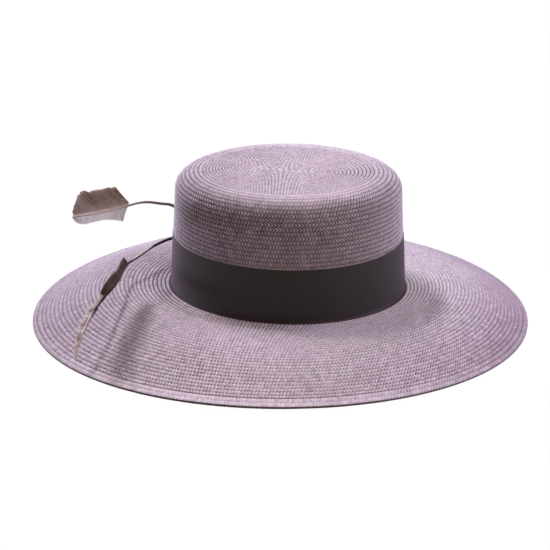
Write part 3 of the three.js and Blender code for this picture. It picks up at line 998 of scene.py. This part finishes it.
def bump(tree, bsdf, height, distance, strength):
    node = tree.nodes.new("ShaderNodeBump")
    node.inputs["Distance"].default_value = distance
    node.inputs["Strength"].default_value = strength
    tree.links.new(height, node.inputs["Height"])
    tree.links.new(node.outputs["Normal"], bsdf.inputs["Normal"])


def straw_material():
    """Pale lilac straw with fine fibres, with painted shade in the hollows of the weave."""
    material, tree, bsdf = shader(
        "woven_straw", roughness=0.55, specular=0.35, sheen=0.5, sheen_tint=STRAW_SHEEN
    )
    patch = noise(tree, scale=28.0, detail=3.0)
    fibre = noise(tree, scale=1400.0, detail=2.0)
    strand = noise(tree, scale=600.0, detail=1.0)
    # tone holds each stitch's random tone and the painted light and shade by place
    tone = attribute(tree, "tone")
    terms = ((tone, 0.1), (patch, 0.35), (strand, 1.4), (fibre, 0.25))
    shade = weighted(tree, *terms, start=-0.7)
    straw = mix_colour(tree, shade, STRAW_LIGHT, STRAW_DEEP)
    # Painted shade in the weave's hollows
    dark = math_node(tree, "POWER", attribute(tree, "hollow"), PAINTED_SHADE_POWER, clamp=True)
    colour = mix_colour(tree, dark, straw, STRAW_PAINTED_SHADE)
    tree.links.new(colour, bsdf.inputs["Base Color"])
    bump(tree, bsdf, fibre, distance=0.15 * MM, strength=0.6)
    return material


def ribbon_material():
    """Dark thread, browner or redder in patches, with painted shade between the ribs."""
    material, tree, bsdf = shader(
        "ribbed_ribbon", roughness=0.5, specular=0.4, sheen=0.35, sheen_tint=RIBBON_SHEEN
    )
    fibre = noise(tree, scale=900.0, detail=2.0, stretch=(1.0, 1.0, 0.3))
    shade = weighted(tree, (attribute(tree, "valley"), 0.6), (fibre, 0.5))
    patch = weighted(tree, (noise(tree, scale=30.0, detail=2.0), 2.0), start=-0.5)
    thread = mix_colour(tree, patch, RIBBON_THREAD, RIBBON_THREAD_RED)
    colour = mix_colour(tree, shade, thread, RIBBON_VALLEY_SHADE)
    tree.links.new(colour, bsdf.inputs["Base Color"])
    bump(tree, bsdf, fibre, distance=0.1 * MM, strength=0.5)
    return material


def quill_material(name, top, low):
    """Smooth horn with streaks, painted lighter on top and darker underneath as shading, and pale
    stretches with painted highlights.
    """
    material, tree, bsdf = shader(name, roughness=0.35, specular=0.5)
    streak = noise(tree, scale=300.0, detail=2.0)
    # Painted light on top and painted shade underneath, mixed with streaks
    shade = weighted(tree, (streak, 0.6), (attribute(tree, "above"), 0.5))
    dark = mix_colour(tree, shade, low, top)
    colour = mix_colour(tree, attribute(tree, "pale"), dark, QUILL_PALE_AND_HIGHLIGHT)
    tree.links.new(colour, bsdf.inputs["Base Color"])
    bump(tree, bsdf, streak, distance=0.1 * MM, strength=0.3)
    return material


def vane_material(name, dark, deep, pale, frost, sheerness):
    """Barbs that let light through, pale in places and frosted towards the upper edge."""
    material, tree, bsdf = shader(name, roughness=0.6, specular=0.3, sheen=0.15)
    patch = noise(tree, scale=110.0, detail=4.0, roughness=0.65)
    shade = weighted(tree, (patch, 1.0), (attribute(tree, "tone"), 0.1))
    barbs = mix_colour(tree, shade, dark, deep)
    reach = attribute(tree, "reach")
    outer = math_node(tree, "POWER", math_node(tree, "MAXIMUM", reach, 0.0), FROST_POWER)
    frosted = math_node(tree, "MULTIPLY", outer, weighted(tree, (patch, 3.2), start=-1.3))
    frosted = math_node(tree, "MULTIPLY", frosted, frost, clamp=True)
    barbs = mix_colour(tree, frosted, barbs, pale)
    whole = weighted(tree, (patch, 0.3), (attribute(tree, "pale"), 1.0), start=-0.15)
    colour = mix_colour(tree, whole, barbs, pale)
    tree.links.new(colour, bsdf.inputs["Base Color"])
    bump(tree, bsdf, patch, distance=0.2 * MM, strength=0.3)
    through = tree.nodes.new("ShaderNodeBsdfTranslucent")
    tree.links.new(colour, through.inputs["Color"])
    both = tree.nodes.new("ShaderNodeMixShader")
    both.inputs[0].default_value = sheerness
    tree.links.new(bsdf.outputs[0], both.inputs[1])
    tree.links.new(through.outputs[0], both.inputs[2])
    tree.links.new(both.outputs[0], tree.nodes["Material Output"].inputs["Surface"])
    return material


# Stage

FLOOR_SIZE = 3.0
FLOOR_GAP = 0.05 * MM
FLOOR_COLOUR = (0.45, 0.45, 0.45, 1)
FLOOR_GLOW = 1.04
FLOOR_GLOW_SHARE = 0.95
LIGHT_AIM = Vector((0, 0, 0.05))

# Each lamp's name, place, power, size and colour
LAMPS = (
    ("key", (-0.47, 0.75, 1.6), 9.5, 0.22, (0.9, 0.88, 1.0)),
    ("second_key", (-0.57, 0.49, 1.68), 12, 0.22, (1.0, 0.97, 0.92)),
    ("back", (0.0, 1.9, 0.8), 8, 1.2, (0.9, 0.97, 1.0)),
    ("right", (1.8, 0.1, 0.6), 15, 0.7, (0.72, 0.7, 1.0)),
    ("front", (0.0, -1.9, 1.0), 4, 1.2, (1.0, 0.8, 0.4)),
    ("front_right", (1.4, -1.3, 0.8), 9.5, 0.8, (1.0, 0.95, 0.74)),
    ("top_left", (-1.0, 0.2, 1.5), 2, 0.8, (0.95, 0.95, 1.0)),
    ("top_right", (1.0, 0.2, 1.5), 6, 0.8, (0.97, 1.0, 0.93)),
    ("top_front", (0.0, -0.7, 1.7), 2.5, 0.8, (1.0, 0.7, 0.9)),
    ("low_back_left", (-1.5, 1.2, 0.25), 7, 0.5, (0.72, 0.76, 1.0)),
    ("low_left", (-1.9, 0.3, 0.12), 12, 0.5, (0.93, 0.9, 1.0)),
)


def floor():
    """A plain pale floor that glows evenly to the camera."""
    size = FLOOR_SIZE
    points = [(-size, -size, 0), (size, -size, 0), (size, size, 0), (-size, size, 0)]
    piece = make_mesh("floor", points, [(0, 1, 2, 3)], smooth=False)
    piece.location.z = -FLOOR_GAP
    material = bpy.data.materials.new("pale_floor")
    material.use_nodes = True
    tree = material.node_tree
    bsdf = tree.nodes["Principled BSDF"]
    bsdf.inputs["Base Color"].default_value = FLOOR_COLOUR
    bsdf.inputs["Roughness"].default_value = 1.0
    bsdf.inputs["Specular IOR Level"].default_value = 0.0
    emission = tree.nodes.new("ShaderNodeEmission")
    emission.inputs["Strength"].default_value = FLOOR_GLOW
    path = tree.nodes.new("ShaderNodeLightPath")
    seen = math_node(tree, "MULTIPLY", path.outputs["Is Camera Ray"], FLOOR_GLOW_SHARE)
    mix = tree.nodes.new("ShaderNodeMixShader")
    tree.links.new(seen, mix.inputs[0])
    tree.links.new(bsdf.outputs[0], mix.inputs[1])
    tree.links.new(emission.outputs[0], mix.inputs[2])
    tree.links.new(mix.outputs[0], tree.nodes["Material Output"].inputs["Surface"])
    piece.data.materials.append(material)


def area_light(name, place, power, size, colour):
    light = bpy.data.lights.new(name, "AREA")
    light.shape = "DISK"
    light.size = size
    light.energy = power
    light.color = colour
    lamp = bpy.data.objects.new(name, light)
    bpy.context.scene.collection.objects.link(lamp)
    lamp.location = place
    aim = LIGHT_AIM - lamp.location
    lamp.rotation_euler = aim.to_track_quat("-Z", "Y").to_euler()


def lights():
    """Soft lamps, and a white background that only the camera sees."""
    world = bpy.data.worlds.new("studio")
    bpy.context.scene.world = world
    world.use_nodes = True
    tree = world.node_tree
    background = tree.nodes["Background"]
    background.inputs["Color"].default_value = (1.0, 1.0, 1.0, 1.0)
    path = tree.nodes.new("ShaderNodeLightPath")
    tree.links.new(path.outputs["Is Camera Ray"], background.inputs["Strength"])
    for lamp in LAMPS:
        area_light(*lamp)


def camera():
    data = bpy.data.cameras.new("camera")
    data.sensor_width = SENSOR_MM
    data.lens = FOCAL_PIXELS / PICTURE_PIXELS * SENSOR_MM
    data.shift_x = -(AIM_PIXEL[0] - PICTURE_PIXELS / 2) / PICTURE_PIXELS
    data.shift_y = (AIM_PIXEL[1] - PICTURE_PIXELS / 2) / PICTURE_PIXELS
    item = bpy.data.objects.new("camera", data)
    bpy.context.scene.collection.objects.link(item)
    away = np.array([0, -math.cos(CAMERA_ELEVATION), math.sin(CAMERA_ELEVATION)])
    item.location = Vector(AIM + away * CAMERA_DISTANCE)
    tilt = Matrix.Rotation(math.pi / 2 - CAMERA_ELEVATION, 3, "X")
    item.rotation_euler = (tilt @ Matrix.Rotation(CAMERA_ROLL, 3, "Z")).to_euler()
    bpy.context.scene.camera = item
    bpy.context.scene.view_settings.view_transform = "Standard"


# The hat

def dress(piece, material):
    """Gives a piece its material and its slot, and lets it ride with the hat."""
    piece.data.materials.append(material)
    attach(piece, "root")


def straw_pieces(material):
    """The straw, in parts from the crown's top to the rim and back along its inside."""
    core = straw_core()
    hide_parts("straw_body")
    under = {"side": -1, "fine": False}
    pieces = [
        core,
        weave("straw_crown", 0, COVERED_ROW, seed=11),
        weave("straw_brim_inner", BRIM_START - 1, BRIM_MIDDLE_ROW, seed=12),
        weave("straw_brim_middle", BRIM_MIDDLE_ROW, BRIM_OUTER_ROW, seed=18),
        weave("straw_brim_outer", BRIM_OUTER_ROW, HEM_START, seed=13),
        weave("straw_hem", HEM_START, RIM_ROW, seed=14),
        weave("straw_under_brim", BRIM_START, HEM_START, seed=15, **under),
        weave("straw_under_hem", HEM_START, RIM_ROW, seed=16, **under),
        weave("straw_crown_inside", 0, BRIM_START, seed=17, **under),
        rim_edge(seed=5),
    ]
    for piece in pieces:
        dress(piece, material)


def ribbon_pieces(material):
    band, length = ribbon_band()
    dress(band, material)
    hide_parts("ribbon_band")
    keeper = ribbon_keeper()
    dress(keeper, material)
    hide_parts("ribbon_keeper")


def feather_pieces():
    for seed, feather in ((21, UPPER), (22, LOWER)):
        name = feather["name"]
        blade = vane(feather, seed)
        dress(blade, vane_material(name + "_vane", **VANE_LOOKS[name]))
        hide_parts(name + "_feather")
        shaft = quill(feather)
        dress(shaft, quill_material(name + "_quill", **QUILL_LOOKS[name]))


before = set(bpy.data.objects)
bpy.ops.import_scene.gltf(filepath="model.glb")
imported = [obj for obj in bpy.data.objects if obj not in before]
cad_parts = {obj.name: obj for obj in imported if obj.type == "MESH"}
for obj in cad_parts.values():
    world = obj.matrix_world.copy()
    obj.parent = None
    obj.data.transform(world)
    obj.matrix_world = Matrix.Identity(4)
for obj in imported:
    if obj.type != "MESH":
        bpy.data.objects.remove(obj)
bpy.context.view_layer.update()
camera()
lights()
floor()
straw_pieces(straw_material())
ribbon_pieces(ribbon_material())
feather_pieces()
